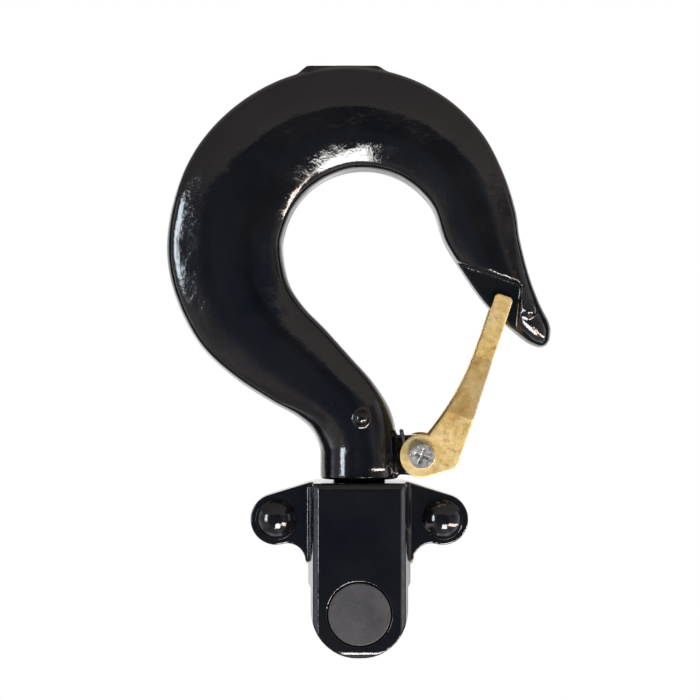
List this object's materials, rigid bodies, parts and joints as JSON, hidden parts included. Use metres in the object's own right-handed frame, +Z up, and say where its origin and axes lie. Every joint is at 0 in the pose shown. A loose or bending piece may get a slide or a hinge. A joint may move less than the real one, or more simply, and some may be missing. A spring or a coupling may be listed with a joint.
{
  "type": "crane hook block",
  "caption": "Swivel load hook with a sprung safety latch, hanging from a two-part clevis block that takes the end link of a load chain on a cross pin.",
  "frame": {"origin": "on the chain pin's axis, in the middle of the chain slot", "axes": "+Z up along the load line, away from the hook; +Y along the chain pin from its head to its nut; the hook's tip and latch are on -X, its back on +X"},
  "size_m": [0.1074, 0.0319, 0.1643],
  "materials": {
    "black_paint": "thick high-gloss black paint over forged steel",
    "phosphated_steel": "turned, dark phosphated, matte",
    "zinc_steel": "light zinc plate, satin",
    "bearing_steel": "ground and polished bearing steel",
    "cage_brass": "pressed, satin",
    "yellow_zinc": "yellow chromated zinc plate, satin",
    "spring_steel": "drawn spring wire, satin"
  },
  "bodies": {
    "block": {"block_front_half": "black_paint", "block_rear_half": "black_paint", "rivets": "black_paint", "race_fixed": "bearing_steel"},
    "chain_pin": {"chain_pin": "phosphated_steel", "chain_pin_nut": "zinc_steel", "split_pin": "zinc_steel"},
    "hook": {"hook_body": "black_paint", "hook_nut": "phosphated_steel", "nut_lock_pin": "zinc_steel", "race_turning": "bearing_steel", "latch_spring": "spring_steel"},
    "ball_cage": {"ball_cage": "cage_brass", "bearing_balls": "bearing_steel"},
    "latch": {"latch": "yellow_zinc", "latch_sleeve": "zinc_steel", "latch_screw": "zinc_steel", "latch_washer": "zinc_steel", "latch_nut": "zinc_steel"}
  },
  "joints": [
    {"name": "swivel", "type": "hinge", "parent": "block", "child": "hook", "pos_m": [0, 0, -0.0305], "axis": [0, 0, 1], "continuous": true},
    {"name": "cage_turn", "type": "hinge", "parent": "block", "child": "ball_cage", "pos_m": [0, 0, -0.0274], "axis": [0, 0, 1], "continuous": true},
    {"name": "pin_turn", "type": "hinge", "parent": "block", "child": "chain_pin", "pos_m": [0, 0, 0], "axis": [0, 1, 0], "continuous": true},
    {"name": "latch_hinge", "type": "hinge", "parent": "hook", "child": "latch", "pos_m": [-0.0173, 0, -0.0434], "axis": [0, -1, 0], "range_deg": [0, 45], "stiffness_Nm_per_rad": 0.03, "springref_deg": -57.3, "deforming": ["latch_spring"]}
  ],
  "couplings": [
    {"joint": "cage_turn", "follows": "swivel", "ratio": 0.5}
  ]
}
